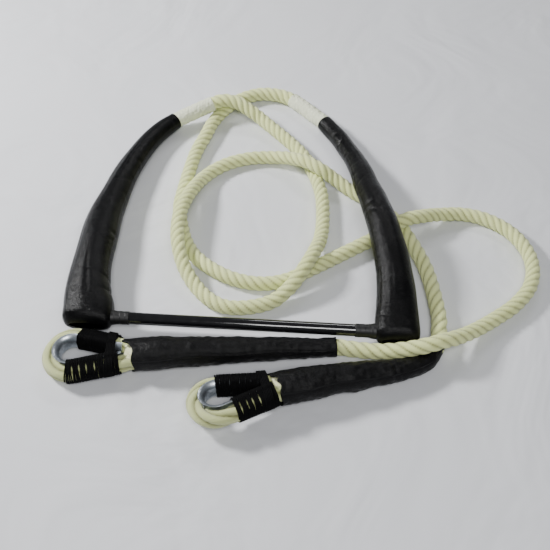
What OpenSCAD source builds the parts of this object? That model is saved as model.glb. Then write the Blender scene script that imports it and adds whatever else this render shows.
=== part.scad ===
// Static trapeze with padded leather arms, laid out flat with its two ropes coiled.
// Origin: on the floor, in the middle of the bar and arms. +X along the bar, +Y from the
// bar towards the arm tips, +Z up. The stations and routes below are written from the
// middle of the bar, and seat() moves everything to the origin.

/* [Bar] */
// Outer diameter of the steel bar
bar_d = 25; // [22:1:26]
// Wall of the bar tube
bar_wall = 2.5; // [1.5:0.5:4]
// Length of the bar tube, inside both padded arms
bar_length = 680; // [660:5:690]
// Distance between the two rope eyes on the bar
rope_spacing = 620; // [615:1:625]

/* [Rope] */
// Diameter of the laid cotton rope
rope_d = 30; // [26:1:30]
// Diameter of the rope where it runs into the white tape
rope_tape_d = 34; // [30:1:34]
// Diameter of the rope where it runs into the leather sleeve
rope_sleeve_d = 33; // [30:1:33]

/* [Arms] */
// Thickness of the leather of the arm covers
leather = 2; // [1:0.5:3]
// Thickness of the tapes
tape = 1; // [0.5:0.25:1.5]

/* [Eyes] */
// Radius of the opening of a thimble at its crown
thimble_r = 23.5; // [23:0.5:24]
// Length of the flat inner wall of a thimble, across its plane
thimble_wall = 16; // [12:1:16]
// Thickness of the whipping twine
twine = 3; // [2:0.5:3]

/* [Hidden] */

bar_r = bar_d / 2;
bar_z = 34;
eye_x = rope_spacing / 2;
rope_r = rope_d / 2;
tape_rope_r = rope_tape_d / 2;
sleeve_rope_r = rope_sleeve_d / 2;
gap = 0.3;

// Stations along each arm: centre x, y, z, half width, half height.
left_arm = [
    [-310, -24, 34, 38, 11], [-310, -19, 34, 45, 21], [-310, -8, 34, 50, 30],
    [-312, 15, 34, 51, 34], [-320, 50, 35, 48, 35], [-326, 95, 36, 44, 36],
    [-329, 145, 36, 41, 36], [-328, 215, 35, 40, 35], [-325, 285, 33, 36, 33],
    [-319, 340, 30, 33, 30], [-309, 405, 28, 29, 27], [-293, 470, 26, 26, 25],
    [-273, 530, 24, 24, 23], [-247, 578, 24, 21.5, 21.5], [-217, 614, 26, 19.5, 19.5]];
right_arm = [
    [310, -24, 34, 34, 11], [310, -19, 34, 40, 21], [310, -8, 34, 44, 30],
    [309, 15, 34, 45, 34], [309, 50, 40, 43, 35], [307, 100, 50, 40, 35],
    [301, 150, 61, 37, 34], [291, 200, 70, 35, 33], [279, 255, 74, 33, 33],
    [263, 320, 70, 30, 30], [246, 385, 60, 28, 27], [230, 455, 46, 25, 25],
    [208, 522, 30, 22.5, 22.5], [178, 587, 22, 21, 21], [146, 635, 20, 19.5, 19.5]];

// Routes of the two ropes, from the white tape to the leather sleeve.
left_route = [
    [-130, 660, 46], [-105, 667, 51], [-72, 665, 48], [-35, 650, 35], [5, 623, 22],
    [90, 535, 15], [125, 465, 15], [146, 395, 15], [152, 320, 15], [149, 255, 21],
    [138, 200, 40], [120, 150, 46], [95, 110, 33], [60, 78, 18], [15, 60, 15],
    [-35, 56, 15], [-75, 74, 15], [-110, 110, 17], [-137, 150, 29], [-153, 195, 43],
    [-161, 245, 47], [-160, 300, 46], [-149, 360, 37], [-131, 420, 20], [-105, 459, 15],
    [-70, 486, 15], [-25, 504, 15], [20, 508, 17], [65, 495, 30], [105, 470, 45],
    [140, 447, 45], [175, 433, 28], [215, 408, 16], [255, 383, 15], [295, 345, 15],
    [328, 298, 15], [374, 190, 15], [395, 75, 16], [395, 25, 17], [389, -16, 17]];
right_route = [
    [64, 720, 18], [30, 736, 18], [-20, 738, 18], [-67, 714, 18], [-102, 675, 18],
    [-127, 625, 17], [-140, 575, 16], [-154, 525, 15], [-162, 470, 15], [-171, 360, 15],
    [-168, 315, 15], [-157, 270, 15], [-143, 230, 15], [-120, 192, 15], [-85, 161, 15],
    [-35, 134, 15], [20, 123, 15], [75, 133, 15], [130, 168, 15], [240, 246, 17],
    [285, 272, 28], [328, 296, 46], [370, 318, 39], [412, 340, 24], [460, 352, 16],
    [510, 342, 15], [560, 309, 15], [592, 258, 16], [602, 205, 16], [590, 150, 16],
    [555, 100, 16], [510, 60, 17], [467, 24, 24], [430, -6, 38], [395, -28, 51],
    [360, -41, 50], [322, -43, 37], [280, -40, 23], [235, -36, 18], [190, -33, 20]];

// Sleeves over the splices: x, y, z, half width, half height, from the eye outwards.
left_sleeve_line = [
    [84, -147, 33, 33, 32], [120, -136, 33, 34, 33], [170, -121, 31, 31, 31],
    [237, -103, 28, 28, 28], [295, -87, 24, 24, 24], [338, -72, 21, 21, 21],
    [370, -50, 18.5, 18.5, 18.5], [389, -16, 17.5, 17.5, 17.5]];
right_sleeve_line = [
    [-205, -86, 31, 33, 31], [-165, -81, 33, 34, 33], [-110, -73, 31, 31, 31],
    [-40, -63, 28, 28, 28], [40, -52, 25, 25, 25], [110, -43, 22, 22, 22],
    [160, -37, 20, 20, 20], [190, -33, 20, 19, 19]];

// Each eye: centre of the thimble's crown, then its turn, pitch and roll in degrees.
left_eye = [[-29, -181, 31], 17, -2.5, -12];
right_eye = [[-325, -89, 23], 2, -3, 0];

eye_rope_r = 16.5;
thimble_rise = 3.5;
crown_r = thimble_r + 3.6 + eye_rope_r + 0.6;
leg_turn = 13.5;
leg_end = 97;
splice_x = 116;

// Cubic blend through points b and c at t from 0 to 1.
function blend(a, b, c, d, t) =
    0.5 * (2 * b + (c - a) * t + (2 * a - 5 * b + 4 * c - d) * t * t
        + (3 * b - a - 3 * c + d) * t * t * t);
function at(p, i) = p[max(0, min(len(p) - 1, i))];
// Point of a station list at u from 0 to 1, smoothly blended.
function along(p, u) =
    let (s = u * (len(p) - 1), i = min(len(p) - 2, floor(s)))
    blend(at(p, i - 1), at(p, i), at(p, i + 1), at(p, i + 2), s - i);
function place(q) = [q.x, q.y, q.z];
function unit(v) = v / norm(v);
function side_of(t) = unit(cross(t, [0, 0, 1]));

// One ring of points round centre c, square to direction t.
function ring(c, t, w, h, sides, side = 0, lift = 0) =
    let (s = side_of(t), u = cross(s, t))
    [for (k = [0:sides - 1])
        let (a = 360 * (k + 0.5) / sides)
        c + s * (side + w * cos(a)) + u * (lift + h * sin(a))];

// Closed solid through rings that all have the same number of points.
module skin(rings) {
    n = len(rings[0]);
    m = len(rings);
    points = [for (r = rings) each r];
    walls = [for (i = [0:m - 2], k = [0:n - 1])
        each [[i * n + k, i * n + (k + 1) % n, (i + 1) * n + k],
            [i * n + (k + 1) % n, (i + 1) * n + (k + 1) % n, (i + 1) * n + k]]];
    caps = [[for (k = [n - 1:-1:0]) k], [for (k = [0:n - 1]) (m - 1) * n + k]];
    polyhedron(points, concat(walls, caps), convexity = 12);
}

// Rings along stations of centre, half width and half height, each grown by extra.
function station_rings(p, extra, sides, count, from = 0, to = 1) =
    [for (i = [0:count])
        let (u = from + (to - from) * i / count,
            q = along(p, u),
            d = 0.002,
            t = unit(place(along(p, min(1, u + d))) - place(along(p, max(0, u - d)))))
        ring(place(q), t, q[3] + extra, q[4] + extra, sides)];

// Rings of a round rope along a route, with its radius given by the share travelled.
function rope_rings(p, radii, sides, count) =
    [for (i = [0:count])
        let (u = i / count,
            c = along(p, u),
            d = 0.002,
            t = unit(along(p, min(1, u + d)) - along(p, max(0, u - d))),
            r = lookup(u, radii))
        ring([c.x, c.y, max(c.z, r)], t, r, r, sides)];

// Stations pushed out at both ends, so that what they cut leaves no thin wall.
function stretched(p, ends) =
    let (n = len(p),
        a = unit(place(p[0]) - place(p[1])),
        b = unit(place(p[n - 1]) - place(p[n - 2])))
    [for (i = [0:n - 1])
        let (move = i == 0 ? a * ends[0] : i == n - 1 ? b * ends[1] : [0, 0, 0])
        [p[i].x + move.x, p[i].y + move.y, p[i].z + move.z, p[i][3], p[i][4]]];

// ---- Bar ----
module bar_rod(x, length, r, facets = 64) {
    translate([x, 0, bar_z]) rotate([0, 90, 0])
        cylinder(h = length, r = r, center = true, $fn = facets);
}
module bar_tube() {
    color("#141414") difference() {
        bar_rod(0, bar_length, bar_r);
        bar_rod(0, bar_length + 2, bar_r - bar_wall);
    }
}
module bar_plug(side) {
    plug = 22;
    lip = 3;
    color("#202020") {
        bar_rod(side * (bar_length / 2 - plug / 2), plug, bar_r - bar_wall);
        bar_rod(side * (bar_length / 2 + lip / 2), lip, bar_r);
    }
}
module collar(side, offset) {
    width = 8;
    color("#8c8f93") difference() {
        bar_rod(side * (eye_x + offset), width, bar_r + 6);
        bar_rod(side * (eye_x + offset), width + 2, bar_r);
    }
}

// ---- Rope inside an arm ----
eye_width = 36;
eye_thick = 9;
throat_y = 62;
function core_line(arm, end) =
    let (n = len(arm))
    concat([[arm[3].x, 14, bar_z, 17, 17], [arm[3].x, 38, bar_z, 17, 16]],
        [for (i = [4:n - 1])
            [arm[i].x, arm[i].y, arm[i].z, i < n - 3 ? rope_r : tape_rope_r - gap * 2,
                i < n - 3 ? rope_r : tape_rope_r - gap * 2]],
        [[end.x, end.y, end.z, tape_rope_r - gap * 2, tape_rope_r - gap * 2]]);
module core_rope(side, arm, end) {
    color("#ded9b6") difference() {
        union() {
            bar_rod(side * eye_x, eye_width, bar_r + eye_thick);
            skin(station_rings(core_line(arm, end), 0, 10, 30));
        }
        bar_rod(side * eye_x, eye_width + 20, bar_r + gap);
    }
}
module bar_seizing(side, arm) {
    turns = 5;
    width = 4;
    x = (arm[4].x + arm[5].x) / 2;
    z = (arm[4].z + arm[5].z) / 2;
    color("#e8e4d4") translate([x, throat_y, z]) rotate([90, 0, 0])
        for (i = [0:turns - 1]) translate([0, 0, (i - turns / 2) * width])
            rotate_extrude($fn = 48) translate([rope_r + 3, 0]) circle(d = width - 0.4, $fn = 16);
}

// ---- Padded arm ----
cavity_r = bar_r + eye_thick + 1;
module arm_padding(side, arm, end) {
    color("#cfc9b8") difference() {
        skin(station_rings(arm, -leather - gap, 16, 28));
        skin(station_rings(stretched(core_line(arm, end), [0, 0]), 1, 8, 20));
        bar_rod(side * eye_x, 76, cavity_r + 1);
        bar_rod(side * (eye_x - 60), 120, bar_r + 2);
    }
}
module arm_cover(side, arm) {
    color("#15151a") difference() {
        skin(station_rings(arm, 0, 18, 30));
        skin(station_rings(stretched(arm, [-leather, 6]), -leather, 16, 28));
        bar_rod(side * (eye_x - 50), 100, bar_r + 1);
    }
}
module cover_stitching(side, arm) {
    // Runs along the inner side of the cover, a little above its middle.
    color("#26262b") skin([for (i = [0:26])
        let (u = 0.24 + 0.74 * i / 26, q = along(arm, u), d = 0.002,
            t = unit(place(along(arm, u + d)) - place(along(arm, u - d))))
        ring(place(q), t, 1.2, 1.2, 6, -side * q[3] * cos(24), q[4] * sin(24))]);
}
module bar_cuff(side) {
    // Tape wound on the bar and up against the cover.
    x0 = eye_x - 84;
    color("#0c0c0e") translate([0, 0, bar_z]) rotate([0, side * 90, 0])
        rotate_extrude($fn = 64) polygon([
            [bar_r, x0], [bar_r + 0.6, x0], [bar_r + 1.2, x0 + 2], [bar_r + 1.2, x0 + 22],
            [bar_r + 3, x0 + 30], [bar_r + 3, x0 + 38], [bar_r, x0 + 38]]);
}
module tip_tape(arm, end) {
    n = len(arm);
    line = [for (q = [arm[n - 2], arm[n - 1], [end.x, end.y, end.z]]) place(q)];
    path = [for (i = [0:6]) let (q = along(line, 0.42 + 0.58 * i / 6))
        [q.x, q.y, q.z, tape_rope_r + tape, tape_rope_r + tape]];
    color("#f2f2ee") difference() {
        skin(station_rings(path, 0, 14, 8));
        skin(station_rings(stretched(path, [3, 3]), -tape, 12, 8));
    }
}

// ---- Free ropes ----
module rope(route) {
    color("#ded9b6") skin(rope_rings(route,
        [[0, tape_rope_r - 0.5], [0.12, rope_r], [0.84, rope_r], [1, sleeve_rope_r - 0.5]], 10, 40));
}

// ---- Sleeve and splice ----
module sleeve(line) {
    color("#17171b") difference() {
        skin(station_rings(line, 0, 16, 16));
        skin(station_rings(stretched(line, [4, 4]), -leather, 14, 16));
    }
}
module sleeve_stitching(line) {
    color("#2a2a2e") skin([for (i = [0:18])
        let (u = 0.04 + 0.92 * i / 18, q = along(line, u), d = 0.002,
            t = unit(place(along(line, u + d)) - place(along(line, u - d))))
        ring(place(q), t, 1.2, 1.2, 6, q[3] * cos(20), q[4] * sin(20))]);
}

// ---- Eyes ----
module in_eye(eye) {
    translate(eye[0]) rotate([0, 0, eye[1]]) rotate([0, eye[2], 0]) rotate([eye[3], 0, 0])
        children();
}
function turn_x(p, a) = [p.x, p.y * cos(a) - p.z * sin(a), p.y * sin(a) + p.z * cos(a)];
function turn_y(p, a) = [p.x * cos(a) + p.z * sin(a), p.y, -p.x * sin(a) + p.z * cos(a)];
function turn_z(p, a) = [p.x * cos(a) - p.y * sin(a), p.x * sin(a) + p.y * cos(a), p.z];
function eye_point(eye, p) = eye[0] + turn_z(turn_y(turn_x(p, eye[3]), eye[2]), eye[1]);

// Middle of the rope round a thimble: down one leg, round the crown, up the other.
leg_start = [crown_r * sin(leg_turn), crown_r * cos(leg_turn), 0];
function leg_point(s, side) = [leg_start.x + s * cos(leg_turn),
    side * (leg_start.y - s * sin(leg_turn)), 0];
leg_run = (leg_end - leg_start.x) / cos(leg_turn);
function leg_spot(s, side) = s >= 0 ? leg_point(s, side) :
    let (a = leg_angle(s)) [crown_r * cos(a), side * crown_r * sin(a), 0];
function leg_angle(s) = 90 - leg_turn - min(s, 0) / crown_r * 180 / PI;
function eye_path() = concat(
    [[splice_x + 14, rope_r + 0.2, 0], [splice_x, rope_r + 0.4, 0]],
    [for (i = [4:-1:1]) leg_point(leg_run * i / 4, 1)],
    [for (i = [0:20]) let (a = 90 - leg_turn + (180 + 2 * leg_turn) * i / 20)
        [crown_r * cos(a), crown_r * sin(a), 0]],
    [for (i = [1:4]) leg_point(leg_run * i / 4, -1)],
    [[splice_x, -rope_r - 0.4, 0], [splice_x + 14, -rope_r - 0.2, 0]]);
module eye_rope(eye, line) {
    path = eye_path();
    n = len(path);
    splice = concat(
        [[for (v = eye_point(eye, [splice_x - 6, 0, 0])) v]],
        [for (i = [1:len(line) - 1]) place(line[i])]);
    radii = [[0, 15], [0.1, 27], [0.3, 28], [0.6, 23], [0.85, 18.5], [1, sleeve_rope_r - 0.5]];
    widths = [[0, 29], [0.14, 30], [0.3, 28], [0.6, 23], [0.85, 18.5], [1, sleeve_rope_r - 0.5]];
    m = len(splice) - 1;
    color("#ded9b6") {
        in_eye(eye) skin([for (i = [0:n - 1])
            let (r = lookup(min(i, n - 1 - i), [[1, rope_r], [4, eye_rope_r]]))
            ring(path[i], unit(at(path, i + 1) - at(path, i - 1)), r, r, 10)]);
        skin([for (i = [0:14])
            let (u = i / 14, d = 0.002, q = along(splice, u),
                t = unit(along(splice, min(1, u + d)) - along(splice, max(0, u - d))))
            ring(q, t, min(lookup(u, widths), along(line, u)[3] - leather - gap),
                min(lookup(u, radii), along(line, u)[4] - leather - gap), 12)]);
    }
}

// Section of the thimble: flat inner wall, rolled flanges and the groove for the rope.
module thimble_section() {
    half = thimble_wall / 2;
    low = [[0, -half], [1.4, -half - 4.5], [4, -half - 8.5], [7.5, -half - 11.3],
        [11.5, -half - 12.5], [12, -half - 10.6], [8.6, -half - 8.6], [5.9, -half - 5.6],
        [4.2, -half - 1.5]];
    points = concat(low, [[3.6, 0]], [for (i = [8:-1:0]) [low[i].x, -low[i].y]]);
    polygon([for (p = points) [thimble_r + p.x, p.y + thimble_rise]]);
}
module thimble(eye) {
    leg = 96;
    color("#9a9ea3") in_eye(eye) {
        rotate([0, 0, 90 - leg_turn])
            rotate_extrude(angle = 180 + 2 * leg_turn, $fn = 96) thimble_section();
        for (side = [1, -1]) mirror([0, side == 1 ? 0 : 1, 0])
            rotate([0, 0, 90 - leg_turn]) rotate([90, 0, 0])
                linear_extrude(leg) thimble_section();
    }
}
module whipping(eye, side, first, turns, pitch) {
    // Twine wound round the rope and the thimble's leg together.
    // It starts clear of the bore, so that a shackle can pass.
    rows = 2 * turns;
    inward = side * 2.1;
    across = eye_rope_r + 4.5;
    tall = eye_rope_r + 5;
    rise = thimble_rise + 0.5;
    color("#0e0e10") in_eye(eye) difference() {
        skin([for (i = [0:rows])
            let (s = first + i * pitch / 2, a = leg_angle(s))
            ring(leg_spot(s, side), [sin(a), -side * cos(a), 0],
                across + (i % 2 == 0 ? twine * 0.45 : twine),
                tall + (i % 2 == 0 ? twine * 0.45 : twine), 14, inward, rise)]);
        skin([for (i = [0:rows + 2])
            let (s = first + (i - 1) * pitch / 2, a = leg_angle(s))
            ring(leg_spot(s, side), [sin(a), -side * cos(a), 0],
                across, tall, 14, inward, rise)]);
    }
}

// Middle of the bar and arms on the floor, which becomes the origin.
middle = [-8, 356];
module seat() {
    translate([-middle.x, -middle.y, 0]) children();
}

left_end = left_route[0];
right_end = right_route[0];
seat() bar_tube();
seat() bar_plug(-1);  // left_bar_plug
seat() bar_plug(1);  // right_bar_plug
seat() collar(-1, -24);  // left_inner_collar
seat() collar(1, -24);  // right_inner_collar
seat() collar(-1, 23);  // left_outer_collar
seat() collar(1, 23);  // right_outer_collar
seat() core_rope(-1, left_arm, left_end);  // left_core_rope
seat() core_rope(1, right_arm, right_end);  // right_core_rope
seat() bar_seizing(-1, left_arm);  // left_bar_seizing
seat() bar_seizing(1, right_arm);  // right_bar_seizing
seat() arm_padding(-1, left_arm, left_end);  // left_arm_padding
seat() arm_padding(1, right_arm, right_end);  // right_arm_padding
seat() arm_cover(-1, left_arm);  // left_arm_cover
seat() arm_cover(1, right_arm);  // right_arm_cover
seat() cover_stitching(-1, left_arm);  // left_cover_stitching
seat() cover_stitching(1, right_arm);  // right_cover_stitching
seat() bar_cuff(-1);  // left_bar_cuff
seat() bar_cuff(1);  // right_bar_cuff
seat() tip_tape(left_arm, left_end);  // left_tip_tape
seat() tip_tape(right_arm, right_end);  // right_tip_tape
seat() rope(left_route);  // left_rope
seat() rope(right_route);  // right_rope
seat() sleeve(left_sleeve_line);  // left_sleeve
seat() sleeve(right_sleeve_line);  // right_sleeve
seat() sleeve_stitching(left_sleeve_line);  // left_sleeve_stitching
seat() sleeve_stitching(right_sleeve_line);  // right_sleeve_stitching
seat() eye_rope(left_eye, left_sleeve_line);  // left_eye_rope
seat() eye_rope(right_eye, right_sleeve_line);  // right_eye_rope
seat() thimble(left_eye);  // left_thimble
seat() thimble(right_eye);  // right_thimble
seat() whipping(left_eye, 1, 15, 11, 6.2);  // left_upper_whipping
seat() whipping(right_eye, 1, 15, 11, 6.0);  // right_upper_whipping
seat() whipping(left_eye, -1, 17, 11, 6.6);  // left_lower_whipping
seat() whipping(right_eye, -1, 15, 11, 6.7);  // right_lower_whipping
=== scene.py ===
"""Looks of a static trapeze laid flat: bar, padded leather arms, ropes and thimble eyes."""

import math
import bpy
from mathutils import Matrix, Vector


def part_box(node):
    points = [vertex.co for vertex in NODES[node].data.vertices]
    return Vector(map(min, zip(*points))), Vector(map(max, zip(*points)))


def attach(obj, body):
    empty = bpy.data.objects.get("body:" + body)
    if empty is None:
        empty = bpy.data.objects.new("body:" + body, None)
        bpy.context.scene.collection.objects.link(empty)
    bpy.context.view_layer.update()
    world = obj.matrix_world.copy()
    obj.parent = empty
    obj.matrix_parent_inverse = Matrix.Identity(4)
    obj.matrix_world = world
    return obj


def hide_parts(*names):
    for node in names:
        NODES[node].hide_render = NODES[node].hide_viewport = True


bl_info = {
    "name": "Static Trapeze",
    "version": (1, 0, 0),
    "blender": (4, 5, 0),
    "location": "View3D > Sidebar > Trapeze",
    "description": "Builds a padded static trapeze round its packed frame",
    "category": "Add Mesh",
}

import bmesh
import bpy
import numpy as np
from mathutils import Vector

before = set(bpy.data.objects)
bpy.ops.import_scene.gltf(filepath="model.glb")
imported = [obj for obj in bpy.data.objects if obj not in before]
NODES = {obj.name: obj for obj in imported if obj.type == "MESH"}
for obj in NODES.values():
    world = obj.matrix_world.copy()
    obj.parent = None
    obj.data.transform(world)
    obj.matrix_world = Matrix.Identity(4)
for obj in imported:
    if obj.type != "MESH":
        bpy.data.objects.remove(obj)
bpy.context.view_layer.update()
SIDES = ("left", "right")

# The stations and routes are written in millimetres from the middle of the bar.
_bar_low, _bar_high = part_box("bar_tube")
MIDDLE = np.array([(_bar_low.x + _bar_high.x) / 2, (_bar_low.y + _bar_high.y) / 2, 0.0])
BAR_Z = (_bar_low.z + _bar_high.z) / 2
BAR_R = (_bar_high.z - _bar_low.z) / 2


def metres(table):
    """The stations of both sides, given in millimetres."""
    return {side: [tuple(v / 1000 for v in row) for row in rows] for side, rows in table.items()}


# Stations along each padded arm: centre, half width and half height.
ARMS = metres({
    "left": [
        (-310, -24, 34, 38, 11), (-310, -19, 34, 45, 21), (-310, -8, 34, 50, 30),
        (-312, 15, 34, 51, 34), (-320, 50, 35, 48, 35), (-326, 95, 36, 44, 36),
        (-329, 145, 36, 41, 36), (-328, 215, 35, 40, 35), (-325, 285, 33, 36, 33),
        (-319, 340, 30, 33, 30), (-309, 405, 28, 29, 27), (-293, 470, 26, 26, 25),
        (-273, 530, 24, 24, 23), (-247, 578, 24, 21.5, 21.5), (-217, 614, 26, 19.5, 19.5)],
    "right": [
        (310, -24, 34, 34, 11), (310, -19, 34, 40, 21), (310, -8, 34, 44, 30),
        (309, 15, 34, 45, 34), (309, 50, 40, 43, 35), (307, 100, 50, 40, 35),
        (301, 150, 61, 37, 34), (291, 200, 70, 35, 33), (279, 255, 74, 33, 33),
        (263, 320, 70, 30, 30), (246, 385, 60, 28, 27), (230, 455, 46, 25, 25),
        (208, 522, 30, 22.5, 22.5), (178, 587, 22, 21, 21), (146, 635, 20, 19.5, 19.5)],
})

# Routes of the ropes, from the white tape to the leather sleeve.
ROUTES = metres({
    "left": [
        (-130, 660, 46), (-105, 667, 51), (-72, 665, 48), (-35, 650, 35), (5, 623, 22),
        (90, 535, 15), (125, 465, 15), (146, 395, 15), (152, 320, 15), (149, 255, 21),
        (138, 200, 40), (120, 150, 46), (95, 110, 33), (60, 78, 18), (15, 60, 15), (-35, 56, 15),
        (-75, 74, 15), (-110, 110, 17), (-137, 150, 29), (-153, 195, 43), (-161, 245, 47),
        (-160, 300, 46), (-149, 360, 37), (-131, 420, 20), (-105, 459, 15), (-70, 486, 15),
        (-25, 504, 15), (20, 508, 17), (65, 495, 30), (105, 470, 45), (140, 447, 45),
        (175, 433, 28), (215, 408, 16), (255, 383, 15), (295, 345, 15), (328, 298, 15),
        (374, 190, 15), (395, 75, 16), (395, 25, 17), (389, -16, 17)],
    "right": [
        (64, 720, 18), (30, 736, 18), (-20, 738, 18), (-67, 714, 18), (-102, 675, 18),
        (-127, 625, 17), (-140, 575, 16), (-154, 525, 15), (-162, 470, 15), (-171, 360, 15),
        (-168, 315, 15), (-157, 270, 15), (-143, 230, 15), (-120, 192, 15), (-85, 161, 15),
        (-35, 134, 15), (20, 123, 15), (75, 133, 15), (130, 168, 15), (240, 246, 17),
        (285, 272, 28), (328, 296, 46), (370, 318, 39), (412, 340, 24), (460, 352, 16),
        (510, 342, 15), (560, 309, 15), (592, 258, 16), (602, 205, 16), (590, 150, 16),
        (555, 100, 16), (510, 60, 17), (467, 24, 24), (430, -6, 38), (395, -28, 51), (360, -41, 50),
        (322, -43, 37), (280, -40, 23), (235, -36, 18), (190, -33, 20)],
})

# Leather sleeves over the splices: centre, half width and half height, from the eye.
SLEEVES = metres({
    "left": [
        (84, -147, 33, 33, 32), (120, -136, 33, 34, 33), (170, -121, 31, 31, 31),
        (237, -103, 28, 28, 28), (295, -87, 24, 24, 24), (338, -72, 21, 21, 21),
        (370, -50, 18.5, 18.5, 18.5), (389, -16, 17.5, 17.5, 17.5)],
    "right": [
        (-205, -86, 31, 33, 31), (-165, -81, 33, 34, 33), (-110, -73, 31, 31, 31),
        (-40, -63, 28, 28, 28), (40, -52, 25, 25, 25), (110, -43, 22, 22, 22),
        (160, -37, 20, 20, 20), (190, -33, 20, 19, 19)],
})

# Each eye: middle of the thimble's crown, then turn, pitch and roll in degrees.
EYES = {
    "left": ((-0.029, -0.181, 0.031), 17.0, -2.5, -12.0),
    "right": ((-0.325, -0.089, 0.023), 2.0, -3.0, 0.0),
}
THIMBLE_R = 0.0235
THIMBLE_RISE = 0.0035
CROWN_R = 0.0442
LEG_TURN = math.radians(13.5)
LEG_END = 0.097
THIMBLE_LEG = 0.096
SPLICE_X = 0.116
EYE_ROPE_R = 0.0165
LEATHER = 0.003
FLOOR_GAP = 0.0004
STRANDS = 4
LAY = 0.074
ROPE_R = 0.015
TAPE_ROPE_R = 0.017
SLEEVE_ROPE_R = 0.0165


# ---- Shapes along a line ----
def blend(points, shares):
    """Points of a smooth line through the given points, at shares from 0 to 1."""
    p = np.array(points, float)
    last = len(p) - 1
    s = np.clip(np.asarray(shares, float), 0, 1) * last
    i = np.minimum(np.floor(s).astype(int), last - 1)
    t = (s - i)[:, None]
    a, b, c, d = p[np.maximum(i - 1, 0)], p[i], p[i + 1], p[np.minimum(i + 2, last)]
    return 0.5 * (2 * b + (c - a) * t + (2 * a - 5 * b + 4 * c - d) * t ** 2
                  + (3 * b - a - 3 * c + d) * t ** 3)


def run_along(points):
    """Distance of each point from the first, along the line."""
    return np.concatenate([[0], np.cumsum(np.linalg.norm(np.diff(points, axis=0), axis=1))])


def evenly(points, step, start=0.0, end=1.0):
    """The smooth line through points, resampled at an even step, with shares."""
    fine = np.linspace(start, end, 3000)
    line = blend(points, fine)
    run = run_along(line[:, :3])
    count = max(2, int(round(run[-1] / step)))
    shares = np.interp(np.linspace(0, run[-1], count + 1), run, fine)
    return blend(points, shares), shares, np.linspace(0, run[-1], count + 1)


def directions(centres):
    """Tangent, side and up of each ring along a line of centres."""
    t = np.gradient(centres, axis=0)
    t /= np.linalg.norm(t, axis=1)[:, None]
    s = np.cross(t, [0, 0, 1.0])
    s /= np.linalg.norm(s, axis=1)[:, None]
    return t, s, np.cross(s, t)


def rings(centres, widths, heights, turn):
    """Rings of points; turn holds each point's angle, and the sizes fit its shape."""
    _, s, u = directions(centres)
    cos, sin = np.cos(turn)[..., None], np.sin(turn)[..., None]
    return (centres[:, None, :] + s[:, None, :] * cos * widths[..., None]
            + u[:, None, :] * sin * heights[..., None])


def circle(sides):
    return np.linspace(0, math.tau, sides, endpoint=False)


def angles(line, sides):
    """The angle of every point in the rings along a line."""
    return np.broadcast_to(circle(sides), (len(line), sides))


def padded_rings(line, turn, grow=1, push=0):
    """Rings with each station's own half width and height, grown and pushed out."""
    return rings(line[:, :3], line[:, 3:4] * grow + push, line[:, 4:5] * grow + push, turn)


def hills(x, y, seed, count=14, low=0.5, high=2.0):
    """Smooth seeded unevenness, about -1 to 1, over two coordinates in cycles."""
    rng = np.random.default_rng(seed)
    total = np.zeros(np.broadcast(x, y).shape)
    for _ in range(count):
        a = rng.uniform(0, math.tau)
        f = rng.uniform(low, high)
        total = total + np.sin(math.tau * f * (x * math.cos(a) + y * math.sin(a))
                               + rng.uniform(0, math.tau))
    return total / math.sqrt(count)


def tube_faces(rows, sides):
    """Side faces of a tube of rings, then the two faces that close it."""
    index = np.arange(rows * sides).reshape(rows, sides)
    a, b = index[:-1], index[1:]
    quads = np.stack([a, b, np.roll(b, -1, 1), np.roll(a, -1, 1)], axis=-1).reshape(-1, 4)
    return quads, [index[0], index[-1][::-1]]


def smooth_mesh(name, points, faces, place_uv):
    """A smooth mesh object; place_uv turns each corner's vertex number into its UV."""
    mesh = bpy.data.meshes.new(name)
    mesh.from_pydata((points.reshape(-1, 3) + MIDDLE).tolist(), [], faces)
    layer = mesh.uv_layers.new(name="UVMap")
    corner = np.zeros(len(mesh.loops), int)
    mesh.loops.foreach_get("vertex_index", corner)
    layer.data.foreach_set("uv", place_uv(corner).astype(np.float32).ravel())
    mesh.polygons.foreach_set("use_smooth", [True] * len(mesh.polygons))
    piece = bpy.data.objects.new(name, mesh)
    bpy.context.scene.collection.objects.link(piece)
    return piece


def skin(name, points, along, attributes=None):
    """A mesh object through rings of points, with a UV map round and along it."""
    rows, sides = points.shape[:2]
    quads, caps = tube_faces(rows, sides)

    def place_uv(corner):
        row, col = corner // sides, corner % sides
        uv = np.stack([col / sides, np.asarray(along)[row]], axis=-1)
        quad_corner = np.arange(len(quads) * 4)
        wraps = (col[quad_corner] == 0) & np.isin(quad_corner % 4, (2, 3))
        uv[quad_corner[wraps], 0] = 1.0
        return uv

    piece = smooth_mesh(name, points, quads.tolist() + [cap.tolist() for cap in caps], place_uv)
    for key, values in (attributes or {}).items():
        attribute = piece.data.attributes.new(key, "FLOAT", "POINT")
        attribute.data.foreach_set("value", np.asarray(values, np.float32).ravel())
    return piece


def many(name, groups):
    """One mesh of many small capped tubes with the same number of rings."""
    data = np.array(groups)
    count, rows, sides = data.shape[:3]
    quads, caps = tube_faces(rows, sides)
    faces = []
    for start in range(0, count * rows * sides, rows * sides):
        faces += (quads + start).tolist() + [(cap + start).tolist() for cap in caps]

    def place_uv(corner):
        place = corner % (rows * sides)
        return np.stack([(place % sides) / sides, (place // sides) * 0.001], axis=-1)

    return smooth_mesh(name, data, faces, place_uv)


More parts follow.
